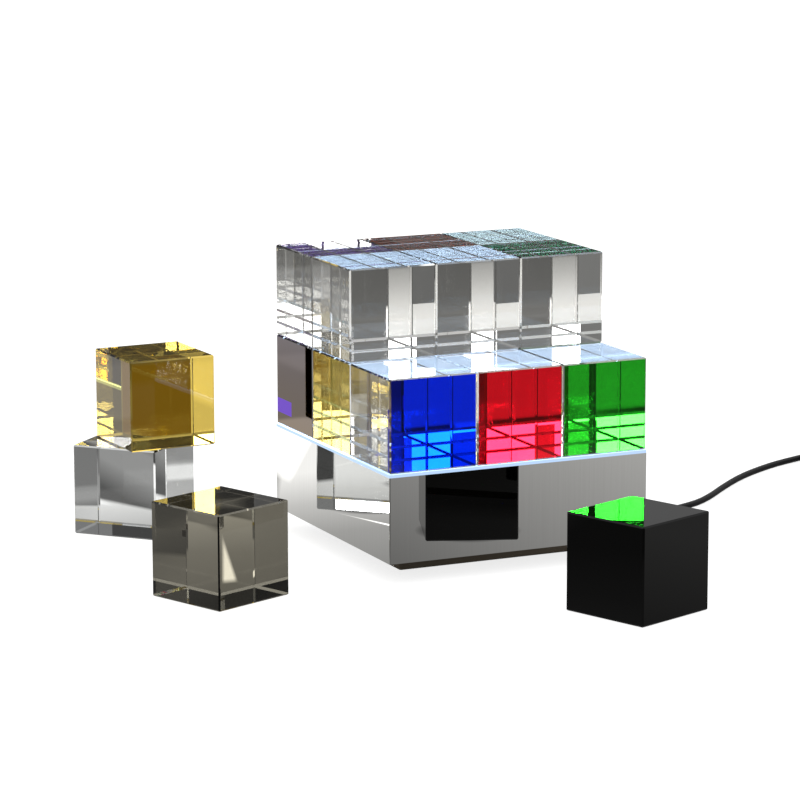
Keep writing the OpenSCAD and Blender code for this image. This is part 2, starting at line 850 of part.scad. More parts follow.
foot_pad();
plinth();
mirror_skin();
nut_blocks();
base_screws();
pillars();
deck();
deck_screws();
lamp_board();
lamps();
lamp_socket();
light_frame();
diffuser();
driver_board();
driver_spacers();
driver_parts();
driver_wires();
inner_lead();
lead_boot();
lead();
lead_coil();
coil_tie();
plug_grip();
plug_shell();
plug_tongue();
blue_cube();
red_cube();
green_cube();
yellow_cube();
pale_cube();
jade_cube();
purple_cube();
brown_cube();
opal_cube();
clear_left();
clear_middle();
clear_right();
clear_back_left();
clear_back_middle();
clear_back_right();
grey_cube();
amber_cube();
smoke_cube();
black_cube();
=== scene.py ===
# %% [markdown]
# # A cube light of polished glass
# The light is a square base with mirror-polished sides and a glowing top plate. Loose glass cubes
# stand on the plate, and four more stand beside the base, one of them on top of another. Almost
# everything that the eye sees here is bent or bounced light, so the lesson is about glass, mirrors
# and what they look at.
#
# The construction is already there: it comes in as a fixed frame, and every piece made below sits on it.

import math

import bmesh
import bpy
from mathutils import Matrix, Vector


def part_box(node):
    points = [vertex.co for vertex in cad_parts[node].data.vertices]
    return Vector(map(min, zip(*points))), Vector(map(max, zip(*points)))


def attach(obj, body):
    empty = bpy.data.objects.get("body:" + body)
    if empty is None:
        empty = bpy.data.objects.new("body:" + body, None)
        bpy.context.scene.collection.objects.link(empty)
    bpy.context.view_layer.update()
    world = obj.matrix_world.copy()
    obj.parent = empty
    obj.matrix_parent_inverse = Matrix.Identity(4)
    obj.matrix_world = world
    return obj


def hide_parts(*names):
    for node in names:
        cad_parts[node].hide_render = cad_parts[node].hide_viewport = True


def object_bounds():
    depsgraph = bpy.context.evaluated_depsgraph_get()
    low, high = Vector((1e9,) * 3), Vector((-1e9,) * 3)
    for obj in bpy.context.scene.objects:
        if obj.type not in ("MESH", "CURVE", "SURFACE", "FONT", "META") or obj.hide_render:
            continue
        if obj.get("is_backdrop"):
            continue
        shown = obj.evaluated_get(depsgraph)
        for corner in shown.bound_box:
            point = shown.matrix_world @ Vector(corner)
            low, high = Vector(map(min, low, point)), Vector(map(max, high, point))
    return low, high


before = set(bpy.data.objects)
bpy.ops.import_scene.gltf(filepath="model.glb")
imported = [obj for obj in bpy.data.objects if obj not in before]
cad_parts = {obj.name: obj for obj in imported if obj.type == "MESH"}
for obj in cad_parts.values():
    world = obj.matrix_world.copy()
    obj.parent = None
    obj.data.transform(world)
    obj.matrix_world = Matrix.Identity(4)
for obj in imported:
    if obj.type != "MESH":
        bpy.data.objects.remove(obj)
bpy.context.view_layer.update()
MM = 0.001

# %% [markdown]
# ## The camera
# The photograph was taken from the front left, a little above the cubes, with a long lens, so that
# edges which run away from the viewer hardly converge. The place and the aim were fitted to the corners
# of the block of cubes. The camera looks along its own -Z, with X to the right, so its turn is written
# as three columns: right, up and back.

# %% Camera
camera_place = Vector((-803.95, -1666.58, 439.67)) * MM
aim = Vector((0.41133166, 0.89118535, -0.19129803)).normalized()
right = Vector((0.90781135, -0.41937523, -0.00172248)).normalized()
up = right.cross(aim).normalized()
turn = Matrix((right, up, -aim)).transposed().to_4x4()

camera_data = bpy.data.cameras.new("camera")
camera_data.sensor_width = 36
camera_data.lens = 155.909
camera_data.clip_start = 0.1
camera_data.clip_end = 50
camera = bpy.data.objects.new("camera", camera_data)
camera.matrix_world = Matrix.Translation(camera_place) @ turn
bpy.context.collection.objects.link(camera)
bpy.context.scene.camera = camera
print("camera", [round(v, 3) for v in camera_place], "lens", camera_data.lens)

# %% [markdown]
# ## The lead
# A thin round lead leaves the base on its right side, drops to the table, passes behind the black
# cube and swings to the back. What the picture doesn't show of its metre and a half is wound into a
# flat coil of two layers, inward on the first and outward on the second. A curve with a round bevel is
# the natural way to draw it: the points are the middle of the lead, and the thickness is one number.
# That number is the radius of the points, and the bevel's depth is 1, because the box around a curve
# counts the radius. The route repeats the construction's, in millimetres.

# %% The free part of the lead's route
lead_d = 3.6
lead_r = lead_d / 2
boot_tip_x, lead_exit_z = 79.45, 8.2
strap_t, strap_fit = 0.8, 0.2
plan = [
    (0, 0), (3.6, 0), (10.5, 0.1), (17.5, 0.5), (25, 1.3), (32.5, 2.6), (41.5, 4.8), (50.5, 7.7),
    (59.5, 11.2), (68, 14.6), (75.5, 17.8), (82.5, 21.3), (89.5, 26), (96.5, 31.6), (104, 38.3),
    (111.5, 45.4), (119.5, 52.7), (127.5, 59.8), (136, 66.9), (144.5, 73.4), (153.5, 79.5),
    (162.5, 85), (171.5, 90.1), (180.5, 94.6), (189.5, 98.4), (198.5, 101.3), (207.5, 103.3),
    (216, 104.3), (221.4, 104.5), (225, 104.5)]
drop_shares = [1, 1, 0.83, 0.44, 0.12, 0]
rise_shares = [0, 0.2, 0.6, 1, 1, 1]
first_z = strap_t + strap_fit + lead_r
free = []
for i, (x, y) in enumerate(plan):
    drop = drop_shares[i] if i < len(drop_shares) else 0
    j = i - len(plan) + len(rise_shares)
    rise = rise_shares[j] if j >= 0 else 0
    z = lead_r + (lead_exit_z - lead_r) * drop + (first_z - lead_r) * rise
    free.append(Vector((boot_tip_x + x, y, z)))


def length_of(points):
    return sum((b - a).length for a, b in zip(points, points[1:]))


print("free part of the lead", round(length_of(free)), "mm")

# %% The coil, and the lead's end at the plug
turns, mean_r, coil_air, steps = 4.5, 21, 0.5, 24
pitch = lead_d + coil_air
inner_r, outer_r = mean_r - turns * pitch / 2, mean_r + turns * pitch / 2
coil_x, coil_y = free[-1].x + lead_d, free[-1].y - outer_r


def eased(s):
    s = min(1, max(0, s))
    return s * s * (3 - 2 * s)


def around(radius, angle, z):
    a = math.radians(angle)
    return Vector((coil_x + radius * math.cos(a), coil_y + radius * math.sin(a), z))


climb_share = 0.25
coil = []
for i in range(int(2 * turns * steps) + 1):
    u = i / steps
    radius = inner_r + pitch * abs(turns - u)
    climbed = eased((u - turns + climb_share) / (2 * climb_share))
    coil.append(around(radius, 90 - 360 * u, first_z + pitch * climbed))

tail_out, tail_turn, tail_steps = 12, 90, 6
plug_x, plug_y, plug_z = coil_x + outer_r + tail_out, coil_y - lead_d, 4
top_z = first_z + pitch
tail = []
for i in range(1, tail_steps + 1):
    opened = eased(i / tail_steps)
    angle = 90 - tail_turn * i / tail_steps
    tail.append(around(outer_r + tail_out * opened, angle, top_z + (plug_z - top_z) * opened))
route = free + coil + tail + [Vector((plug_x, plug_y, plug_z))]

# %% Draw the lead
lead_curve = bpy.data.curves.new("lead_line", "CURVE")
lead_curve.dimensions = "3D"
lead_curve.bevel_depth = 1
lead_curve.bevel_resolution = 4
lead_curve.resolution_u = 1
lead_curve.use_fill_caps = True
line = lead_curve.splines.new("POLY")
line.points.add(len(route) - 1)
for point, place in zip(line.points, route):
    point.co = (*(place * MM), 1)
    point.radius = lead_r * MM
lead = bpy.data.objects.new("lead_line", lead_curve)
bpy.context.collection.objects.link(lead)
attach(lead, "base")
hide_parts("lead", "lead_coil")
print("lead drawn through", len(line.points), "points")

# %% [markdown]
# ## Colours and shader nodes
# Colours are written as the eye knows them, in sRGB hex, and one function turns them into the linear
# values that light is added up in. A second small function adds a shader node with its settings and
# links and hands back the socket that is wanted, so that each material below reads as a list of what it
# is made of. A finish goes onto the pieces of the construction by their node names.

# %% Helpers for materials
def lin(code, power=1.0):
    parts = [int(code[i:i + 2], 16) / 255 for i in (1, 3, 5)]
    parts = [p / 12.92 if p <= 0.04045 else ((p + 0.055) / 1.055) ** 2.4 for p in parts]
    return (*[p ** power for p in parts], 1.0)


def add(tree, kind, inputs=None, pick=0, stops=(), **settings):
    made = tree.nodes.new("ShaderNode" + kind)
    for key, value in settings.items():
        setattr(made, key, value)
    for key, value in (inputs or {}).items():
        if isinstance(value, bpy.types.NodeSocket):
            tree.links.new(value, made.inputs[key])
        else:
            made.inputs[key].default_value = value
    for i, (place, level) in enumerate(stops):
        ramp = made.color_ramp.elements
        stop = ramp[i] if i < 2 else ramp.new(place)
        stop.position = place
        stop.color = (level, level, level, 1)
    return made.outputs if pick is None else made.outputs[pick]


def start_finish(name):
    material = bpy.data.materials.new(name)
    material.use_nodes = True
    material.node_tree.nodes.clear()
    return material, material.node_tree


def put_on(material, surface, *names):
    tree = material.node_tree
    out = tree.nodes.new("ShaderNodeOutputMaterial")
    tree.links.new(surface, out.inputs["Surface"])
    for name in names:
        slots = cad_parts[name].data.materials
        slots.clear()
        slots.append(material)
    print(material.name, "on", ", ".join(names) if names else "a new piece")


X, Y, Z = 0, 1, 2
white = lin("#ffffff")
print("mid grey in linear light", round(lin("#808080")[0], 3))

# %% [markdown]
# ## Polished glass
# The cubes are optical crown glass, ground flat and polished on all six faces. Such glass has hardly
# any colour and no roughness: what makes it visible is its index of refraction, 1.52. Light that enters
# one side meets the neighbouring sides at more than 41 degrees and is thrown back completely, which
# folds the room behind the cubes into upright and level bands.
#
# The coloured cubes carry a thin film on one face only. Light is tinted where it passes through that
# face. The Principled shader tints light by the square root of its base colour at each surface, so the
# film's colour is squared. The film is found by the place of its face on the piece: a point within a
# twentieth of a millimetre of the face lies on it. The film is a little thicker here and thinner there,
# as a vapour-coated one is. A faint wipe mark now and then is all that polished glass shows of itself.

# %% Glass with a coloured film on one face
FRONT, LEFT, UNDER, TOP = (Y, -1), (X, -1), (Z, -1), (Z, 1)
face_depth = 0.05 * MM
crown_index = 1.52
clear = "#fefefd"


def on_face(tree, axes, face, piece):
    axis, side = face
    low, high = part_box(piece)
    if side < 0:
        return add(tree, "Math", {0: axes[axis], 1: low[axis] + face_depth}, operation="LESS_THAN")
    return add(tree, "Math", {0: axes[axis], 1: high[axis] - face_depth}, operation="GREATER_THAN")


def wiped(tree, place, body):
    marks = add(
        tree, "TexNoise", {"Vector": place, "Scale": 1 / (14 * MM), "Detail": 3, "Distortion": 1.5})
    marks = add(
        tree, "MapRange", {"Value": marks, "From Min": 0.56, "From Max": 0.7},
        interpolation_type="SMOOTHSTEP")
    return add(tree, "Mix", {0: marks, 6: lin(body, 2), 7: lin(body, 2.06)}, pick=2, data_type="RGBA")


def polished_glass(name, body, film, cube):
    material, tree = start_finish(name)
    place = add(tree, "TexCoord", pick="Object")
    colour = wiped(tree, place, body)
    if film:
        face, thick, thin = film
        axes = add(tree, "SeparateXYZ", {0: place}, pick=None)
        depth = add(tree, "TexNoise", {"Vector": place, "Scale": 1 / (30 * MM), "Detail": 2})
        tint = add(tree, "Mix", {0: depth, 6: lin(thick, 2), 7: lin(thin, 2)}, pick=2, data_type="RGBA")
        tinted = on_face(tree, axes, face, cube)
        colour = add(tree, "Mix", {0: tinted, 6: colour, 7: tint}, pick=2, data_type="RGBA")
    crown = {"Base Color": colour, "Roughness": 0, "IOR": crown_index, "Transmission Weight": 1}
    return material, add(tree, "BsdfPrincipled", crown)


clear_names = [
    "clear_left", "clear_middle", "clear_right",
    "clear_back_left", "clear_back_middle", "clear_back_right"]
material, glass = polished_glass("crown_glass_clear", clear, None, clear_names[0])
put_on(material, glass, *clear_names)

films = {
    "red": (FRONT, "#e20e21", "#ec1223"),
    "green": (FRONT, "#22ae22", "#26bb26"),
    "yellow": (LEFT, "#f2d45c", "#fff3a6"),
    "pale": None,
    "jade": (UNDER, "#1a5a32", "#276c40"),
    "brown": (UNDER, "#62291a", "#82412e"),
    "opal": (UNDER, "#eef2d8", "#fffff0"),
}
for colour_name, film in films.items():
    cube = colour_name + "_cube"
    material, glass = polished_glass("crown_glass_" + colour_name, clear, film, cube)
    put_on(material, glass, cube)

# %% [markdown]
# ## The blue cube
# The blue film is backed by a lacquer that has run a little way round the front edge, so a narrow blue
# strip stands at the front of the left face, from the foot to two thirds of the height. Three masks
# multiplied give the strip: the face, a distance from the edge and a height.

# %% Lacquer round the blue cube's edge
lacquer_w, lacquer_h = 2.8, 34
film = (FRONT, "#0227f4", "#022bfe")
material, glass = polished_glass("crown_glass_blue", clear, film, "blue_cube")
tree = material.node_tree
axes = add(tree, "SeparateXYZ", {0: add(tree, "TexCoord", pick="Object")}, pick=None)
low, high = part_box("blue_cube")
run = on_face(tree, axes, LEFT, "blue_cube")
for axis, limit in ((Y, low.y + lacquer_w * MM), (Z, low.z + lacquer_h * MM)):
    within = add(tree, "Math", {0: axes[axis], 1: limit}, operation="LESS_THAN")
    run = add(tree, "Math", {0: run, 1: within}, operation="MULTIPLY")
lacquer = add(tree, "BsdfPrincipled", {"Base Color": lin("#0b16a8"), "Roughness": 0.15})
put_on(material, add(tree, "MixShader", {0: run, 1: glass, 2: lacquer}), "blue_cube")

# %% [markdown]
# ## The purple cube
# This cube has two coatings. Its underside is purple, which is what its top shows, and its left face
# carries a dim mirror coating, so it looks smooth and grey-brown where its neighbours look full of
# lines. On that face a dark bar of painted shade stands near the front edge, and a patch of painted
# violet light, a glow that stands for the plate's light through the film, lies low at its far side. A
# second shader, a metal-like gloss, takes the glass's place on that face.

# %% Mirror coating on the purple cube's left face
coating_dull = 0.03
film = (UNDER, "#5a3468", "#754a86")
material, glass = polished_glass("crown_glass_purple", clear, film, "purple_cube")
tree = material.node_tree
axes = add(tree, "SeparateXYZ", {0: add(tree, "TexCoord", pick="Object")}, pick=None)
low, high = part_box("purple_cube")
fade = add(tree, "MapRange", {"Value": axes[Z], "From Min": low.z, "From Max": high.z})
shade = add(tree, "Mix", {0: fade, 6: lin("#7f7469"), 7: lin("#7c7679")}, pick=2, data_type="RGBA")
coating_and_painted_marks = add(tree, "BsdfGlossy", {"Color": shade, "Roughness": coating_dull})

# %% Painted shade bar and painted violet glow on that face
bar_y, bar_half_w, bar_foot = 5.2, 4, 11
bar_wide = add(
    tree, "Math", {0: axes[Y], 1: low.y + bar_y * MM, 2: bar_half_w * MM}, operation="COMPARE")
bar_high = add(tree, "Math", {0: axes[Z], 1: low.z + bar_foot * MM}, operation="GREATER_THAN")
painted_shade_bar = add(tree, "Math", {0: bar_wide, 1: bar_high}, operation="MULTIPLY")
# Painted shade: a nearly black gloss laid on the face as a bar where the face looks dark.
dark = add(tree, "BsdfGlossy", {"Color": lin("#120d0a"), "Roughness": coating_dull})
coating_and_painted_marks = add(tree, "MixShader", {0: painted_shade_bar, 1: coating_and_painted_marks, 2: dark})

gleam_w, gleam_z, gleam_half_h = 20.5, 11, 4
gleam_wide = add(tree, "Math", {0: axes[Y], 1: high.y, 2: gleam_w * MM}, operation="COMPARE")
gleam_high = add(
    tree, "Math", {0: axes[Z], 1: low.z + gleam_z * MM, 2: gleam_half_h * MM}, operation="COMPARE")
painted_glow_mask = add(tree, "Math", {0: gleam_wide, 1: gleam_high}, operation="MULTIPLY")
# Painted light: a violet glow standing for the plate's light through the purple film, though the glass is
# no lamp.
painted_violet_glow = add(tree, "Emission", {"Color": lin("#825fd7"), "Strength": 0.85})
coating_and_painted_marks = add(tree, "MixShader", {0: painted_glow_mask, 1: coating_and_painted_marks, 2: painted_violet_glow})

coated = on_face(tree, axes, LEFT, "purple_cube")
put_on(material, add(tree, "MixShader", {0: coated, 1: glass, 2: coating_and_painted_marks}), "purple_cube")

# %% [markdown]
# ## The cubes beside the base
# Grey, smoke and amber are coloured in the melt, so their colour sits in the body and not on a face.
# Most straight ways through a cube are about as long as its side, so a tint where light enters and
# leaves comes out much the same, and the glass can stay free of a volume, which renders far slower.
#
# The black cube is glass so deeply coloured that nothing passes, and only its polish shows. It is drawn
# as an opaque gloss with the same smooth faces, and a slightly lower index keeps its upright faces as
# black as the real ones.

# %% Glass coloured in the melt
melts = {"grey": "#f6f7f7", "smoke": "#d3d0c6", "amber": "#f7e7a2"}
for colour_name, melt in melts.items():
    cube = colour_name + "_cube"
    material, glass = polished_glass("melt_coloured_" + colour_name, melt, None, cube)
    put_on(material, glass, cube)

# %% Black glass
material, tree = start_finish("black_glass")
place = add(tree, "TexCoord", pick="Object")
marks = add(
    tree, "TexNoise", {"Vector": place, "Scale": 1 / (11 * MM), "Detail": 3, "Distortion": 1})
gloss = add(
    tree, "MapRange", {"Value": marks, "From Min": 0.55, "From Max": 0.75, "To Min": 0.0, "To Max": 0.03})
black = {"Base Color": lin("#010101"), "Roughness": gloss, "IOR": 1.4}
put_on(material, add(tree, "BsdfPrincipled", black), "black_cube")

# %% [markdown]
# ## The opal plate
# The plate under the cubes is cast acrylic with a white pigment that scatters the lamps' light. It is a
# lamp in its own right, and the only one that the cubes see from below. Its top face is brighter than
# its edge, which shows as a thin line round the base. Over each lamp it is a few percent brighter, and
# toward the back, where the cubes stand two high, more light is held. An emission colour does all this
# in the shader, with masks on the height and on the grid of lamps.

# %% Opal acrylic that glows
lamp_pitch = 22 * MM
half_pitch = lamp_pitch / 2
row_line, row_soft = -25 * MM, 8 * MM
material, tree = start_finish("opal_acrylic")
axes = add(tree, "SeparateXYZ", {0: add(tree, "TexCoord", pick="Object")}, pick=None)
back = add(
    tree, "MapRange",
    {"Value": axes[Y], "From Min": row_line - row_soft, "From Max": row_line + row_soft,
     "To Min": 1.6, "To Max": 3.6})
spot_x = add(tree, "Math", {0: axes[X], 1: half_pitch}, operation="PINGPONG")
spot_y = add(tree, "Math", {0: axes[Y], 1: half_pitch}, operation="PINGPONG")
spot = add(tree, "Math", {0: spot_x, 1: spot_y}, operation="ADD")
spot = add(tree, "MapRange", {"Value": spot, "From Max": lamp_pitch, "To Min": 0.96, "To Max": 1.04})
face = add(tree, "Math", {0: back, 1: spot}, operation="MULTIPLY")
on_top = on_face(tree, axes, TOP, "diffuser")
glow = add(tree, "MapRange", {"Value": on_top, "To Min": 1.0, "To Max": face})
acrylic = {
    "Base Color": lin("#30363c"), "Roughness": 0.3,
    "Emission Color": lin("#bcd9fd"), "Emission Strength": glow}
put_on(material, add(tree, "BsdfPrincipled", acrylic), "diffuser")

# %% [markdown]
# ## The base
# The skin is stainless sheet, polished to a mirror with ever finer wheels. A mirror has next to no
# roughness, but never quite none: faint upright wheel lines and a breath of haze keep it from looking
# like a hole in the picture. The plinth is brushed metal in a bronze grey, with its lines running round
# it. The noise is drawn out along X and Y and stays fine in height, so each line is long along the side
# and a third of a millimetre across.

# %% Mirror-polished steel
material, tree = start_finish("polished_stainless")
place = add(tree, "TexCoord", pick="Object")
haze = add(tree, "TexNoise", {"Vector": place, "Scale": 1 / (26 * MM), "Detail": 2})
lined = add(tree, "Mapping", {"Vector": place, "Scale": (1, 1, 0.02)})
lines = add(tree, "TexNoise", {"Vector": lined, "Scale": 1 / (1.2 * MM), "Detail": 2})
both = add(tree, "Math", {0: haze, 1: lines}, operation="MULTIPLY")
gloss = add(
    tree, "MapRange", {"Value": both, "From Min": 0.2, "From Max": 0.4, "To Min": 0.0, "To Max": 0.02})
tone = add(tree, "Mix", {0: lines, 6: lin("#f0f0ee"), 7: lin("#f8f8f6")}, pick=2, data_type="RGBA")
mirror = {"Base Color": tone, "Metallic": 1, "Roughness": gloss}
put_on(material, add(tree, "BsdfPrincipled", mirror), "mirror_skin")

# %% Brushed metal in bronze grey
material, tree = start_finish("brushed_bronze_grey")
place = add(tree, "TexCoord", pick="Object")
brushed = add(tree, "Mapping", {"Vector": place, "Scale": (0.012, 0.012, 1)})
lines = add(
    tree, "TexNoise", {"Vector": brushed, "Scale": 1 / (0.35 * MM), "Detail": 4, "Roughness": 0.65})
tone = add(tree, "Mix", {0: lines, 6: lin("#5c5347"), 7: lin("#948a7c")}, pick=2, data_type="RGBA")
gloss = add(tree, "MapRange", {"Value": lines, "To Min": 0.26, "To Max": 0.46})
grooves = add(tree, "Bump", {"Strength": 0.5, "Distance": 0.02 * MM, "Height": lines})
metal = {"Base Color": tone, "Metallic": 1, "Roughness": gloss, "Normal": grooves}
put_on(material, add(tree, "BsdfPrincipled", metal), "plinth")

# %% [markdown]
# ## Rubber, cable and plug
# The foot pad is moulded rubber with a fine pebbled skin that holds a little dust. The lead has a soft
# vinyl jacket, drawn through a die, and its boot and the plug's grip are moulded in the same family of
# black. What tells them apart is the size of the grain and how far the light spreads in it: the pad is
# the dullest and the lead the glossiest. One function takes that grain and gloss, because the way the
# surface is built up is the same each time.

# %% Soft black mouldings
def black_moulding(name, dark, worn, grain, depth, dull, *names):
    material, tree = start_finish(name)
    place = add(tree, "TexCoord", pick="Object")
    pebbles = add(tree, "TexVoronoi", {"Vector": place, "Scale": 1 / (grain * MM)}, pick="Distance")
    dust = add(tree, "TexNoise", {"Vector": place, "Scale": 1 / (18 * grain * MM), "Detail": 4})
    dust = add(tree, "MapRange", {"Value": dust, "From Min": 0.42, "From Max": 0.72})
    tone = add(tree, "Mix", {0: dust, 6: lin(dark), 7: lin(worn)}, pick=2, data_type="RGBA")
    gloss = add(tree, "MapRange", {"Value": dust, "To Min": dull - 0.06, "To Max": dull + 0.08})
    skin = add(tree, "Bump", {"Strength": 0.6, "Distance": depth * MM, "Height": pebbles})
    soft = {"Base Color": tone, "Roughness": gloss, "Normal": skin, "Sheen Weight": 0.05}
    put_on(material, add(tree, "BsdfPrincipled", soft), *names)
    return material


black_moulding("pebbled_rubber", "#191919", "#2b2a28", 0.8, 0.08, 0.78, "foot_pad")
vinyl = black_moulding("drawn_vinyl", "#0d0d0f", "#18181a", 0.5, 0.01, 0.4, "inner_lead")
lead.data.materials.append(vinyl)
black_moulding("soft_vinyl_boot", "#101011", "#1d1d1e", 0.6, 0.03, 0.55, "lead_boot")
black_moulding("spark_textured_grip", "#131314", "#202022", 0.45, 0.05, 0.5, "plug_grip")

# %% [markdown]
# ## The plug's metal, and its contacts
# The shell is folded from steel strip and nickel plated, with fine drawing lines along it. Inside it a
# white tongue carries four gold-plated contacts on its lower face. They are new pieces: a cube from the
# bmesh operators, scaled to a strip, with its edges bevelled, four times side by side.

# %% Nickel-plated shell
material, tree = start_finish("nickel_plated_steel")
place = add(tree, "TexCoord", pick="Object")
drawn = add(tree, "Mapping", {"Vector": place, "Scale": (1, 0.03, 1)})
lines = add(tree, "TexNoise", {"Vector": drawn, "Scale": 1 / (0.4 * MM), "Detail": 3})
tone = add(tree, "Mix", {0: lines, 6: lin("#c6c2ba"), 7: lin("#e2dfd8")}, pick=2, data_type="RGBA")
gloss = add(tree, "MapRange", {"Value": lines, "To Min": 0.14, "To Max": 0.3})
plated = {"Base Color": tone, "Metallic": 1, "Roughness": gloss}
put_on(material, add(tree, "BsdfPrincipled", plated), "plug_shell")

# %% Gold contacts under the tongue
low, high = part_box("plug_tongue")
contact_w, contact_t, contact_count = 1.0, 0.12, 4
contact_short, contact_sunk, contact_round = 3, 0.02, 0.04
contact_l = (high.y - low.y) / MM - contact_short
contact_step = (high.x - low.x) / MM / contact_count
middle_y = (low.y + high.y) / 2
contact_z = low.z - (contact_t / 2 - contact_sunk) * MM
bm = bmesh.new()
for i in range(contact_count):
    contact = bmesh.ops.create_cube(bm, size=1)["verts"]
    bmesh.ops.scale(bm, verts=contact, vec=Vector((contact_w, contact_l, contact_t)) * MM)
    across = low.x + (i + 0.5) * contact_step * MM
    bmesh.ops.translate(bm, verts=contact, vec=(across, middle_y, contact_z))
bmesh.ops.bevel(
    bm, geom=bm.edges[:], offset=contact_round * MM, affect="EDGES", segments=2, profile=0.5,
    material=-1)
contact_mesh = bpy.data.meshes.new("plug_contacts")
bm.to_mesh(contact_mesh)
bm.free()
contacts = bpy.data.objects.new("plug_contacts", contact_mesh)
bpy.context.collection.objects.link(contacts)
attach(contacts, "base")
print("contacts", contact_count, "of", round(contact_l, 1), "mm")

material, tree = start_finish("gold_plate")
place = add(tree, "TexCoord", pick="Object")
rubbed = add(tree, "TexNoise", {"Vector": place, "Scale": 1 / (1.5 * MM), "Detail": 3})
tone = add(tree, "Mix", {0: rubbed, 6: lin("#d9a94a"), 7: lin("#f2cf7c")}, pick=2, data_type="RGBA")
gloss = add(tree, "MapRange", {"Value": rubbed, "To Min": 0.12, "To Max": 0.32})
put_on(material, add(tree, "BsdfPrincipled", {"Base Color": tone, "Metallic": 1, "Roughness": gloss}))
contacts.data.materials.append(material)

# %% [markdown]
# ## The strap on the coil
# The coil is held by a woven nylon strap. Two waves that cross at right angles stand for warp and weft,
# about a millimetre apart, and a little sheen gives the fuzz of its loops. A wave texture repeats some
# three times in a unit, so its scale is about a third of what a noise of that size would have.

# %% Woven strap
yarn_scale = 0.32 / MM
material, tree = start_finish("woven_nylon")
place = add(tree, "TexCoord", pick="Object")
yarn = {"Vector": place, "Scale": yarn_scale, "Distortion": 0.4}
warp = add(tree, "TexWave", yarn, pick="Fac", bands_direction="X")
weft = add(tree, "TexWave", yarn, pick="Fac", bands_direction="Y")
threads = add(tree, "Math", {0: warp, 1: weft}, operation="MAXIMUM")
tone = add(tree, "Mix", {0: threads, 6: lin("#0f0f11"), 7: lin("#26262a")}, pick=2, data_type="RGBA")
raised = add(tree, "Bump", {"Strength": 0.7, "Distance": 0.1 * MM, "Height": threads})
strap = {"Base Color": tone, "Roughness": 0.85, "Normal": raised, "Sheen Weight": 0.3}
put_on(material, add(tree, "BsdfPrincipled", strap), "coil_tie")

# %% [markdown]
# ## White plastics inside
# The frame round the light box, the lamp socket, the driver's spacers and the plug's tongue are white
# mouldings. The frame is made to throw light back, so it is the whitest and dullest. All of them have
# the slight waviness of a moulded wall, called orange peel, a millimetre or two across.

# %% White mouldings
def white_moulding(name, shadow, light, dull, peel, *names):
    material, tree = start_finish(name)
    place = add(tree, "TexCoord", pick="Object")
    waves = add(tree, "TexNoise", {"Vector": place, "Scale": 1 / (peel * MM), "Detail": 2})
    tone = add(tree, "Mix", {0: waves, 6: lin(shadow), 7: lin(light)}, pick=2, data_type="RGBA")
    gloss = add(tree, "MapRange", {"Value": waves, "To Min": dull - 0.05, "To Max": dull + 0.05})
    wavy = add(tree, "Bump", {"Strength": 0.4, "Distance": 0.03 * MM, "Height": waves})
    moulded = {"Base Color": tone, "Roughness": gloss, "Normal": wavy}
    put_on(material, add(tree, "BsdfPrincipled", moulded), *names)


white_moulding("white_polycarbonate", "#f4f4f2", "#fcfcfb", 0.65, 1.8, "light_frame")
white_moulding("white_nylon", "#e6e6df", "#f3f3ee", 0.42, 1.2, "lamp_socket", "driver_spacers")
white_moulding("white_pbt", "#e0e0dc", "#eeeeea", 0.35, 0.9, "plug_tongue")

# %% [markdown]
# ## The lamp board and its lamps
# The lamps sit on a white board in a square grid. Copper tracks lie under the white mask and lift it a
# little, and each lamp has a gold pad at either side. The grid can be found again from the position
# alone: a ping-pong of X and Y over half a pitch is nothing midway between two rows and half a pitch on
# a row. Each lamp is a white ceramic body with a round dish of yellow phosphor, which is what makes
# blue light white.

# %% White board with tracks and pads
track_half, pad_off, pad_half_w, pad_half_l = 1.2 * MM, 3.1 * MM, 0.9 * MM, 2 * MM
material, tree = start_finish("white_solder_mask")
place = add(tree, "TexCoord", pick="Object")
axes = add(tree, "SeparateXYZ", {0: place}, pick=None)
from_x = add(tree, "Math", {0: axes[X], 1: half_pitch}, operation="PINGPONG")
from_y = add(tree, "Math", {0: axes[Y], 1: half_pitch}, operation="PINGPONG")
track = add(tree, "Math", {0: from_y, 1: half_pitch, 2: track_half}, operation="COMPARE")
tone = add(tree, "Mix", {0: track, 6: lin("#f4f4f0"), 7: lin("#e6e6dc")}, pick=2, data_type="RGBA")
pad_x = add(tree, "Math", {0: from_x, 1: half_pitch - pad_off, 2: pad_half_w}, operation="COMPARE")
pad_y = add(tree, "Math", {0: from_y, 1: half_pitch, 2: pad_half_l}, operation="COMPARE")
pad = add(tree, "Math", {0: pad_x, 1: pad_y}, operation="MULTIPLY")
tone = add(tree, "Mix", {0: pad, 6: tone, 7: lin("#d8b25c")}, pick=2, data_type="RGBA")
lift = add(tree, "Bump", {"Strength": 0.5, "Distance": 0.05 * MM, "Height": track})
board = {"Base Color": tone, "Metallic": pad, "Roughness": 0.32, "Normal": lift}
put_on(material, add(tree, "BsdfPrincipled", board), "lamp_board")

# %% Lamps with a phosphor dish
dish_r = 1.95 * MM
material, tree = start_finish("lamp_ceramic_and_phosphor")
place = add(tree, "TexCoord", pick="Object")
axes = add(tree, "SeparateXYZ", {0: place}, pick=None)
off_x = add(tree, "Math", {0: axes[X], 1: half_pitch}, operation="PINGPONG")
off_y = add(tree, "Math", {0: axes[Y], 1: half_pitch}, operation="PINGPONG")
off = add(tree, "CombineXYZ", {0: off_x, 1: off_y})
middle = (half_pitch, half_pitch, 0)
off = add(tree, "VectorMath", {0: off, 1: middle}, pick="Value", operation="DISTANCE")
dish = add(tree, "Math", {0: off, 1: dish_r}, operation="LESS_THAN")
grain = add(tree, "TexNoise", {"Vector": place, "Scale": 1 / (0.3 * MM), "Detail": 2})
gel = add(tree, "Mix", {0: grain, 6: lin("#f0c24c"), 7: lin("#ffe08a")}, pick=2, data_type="RGBA")
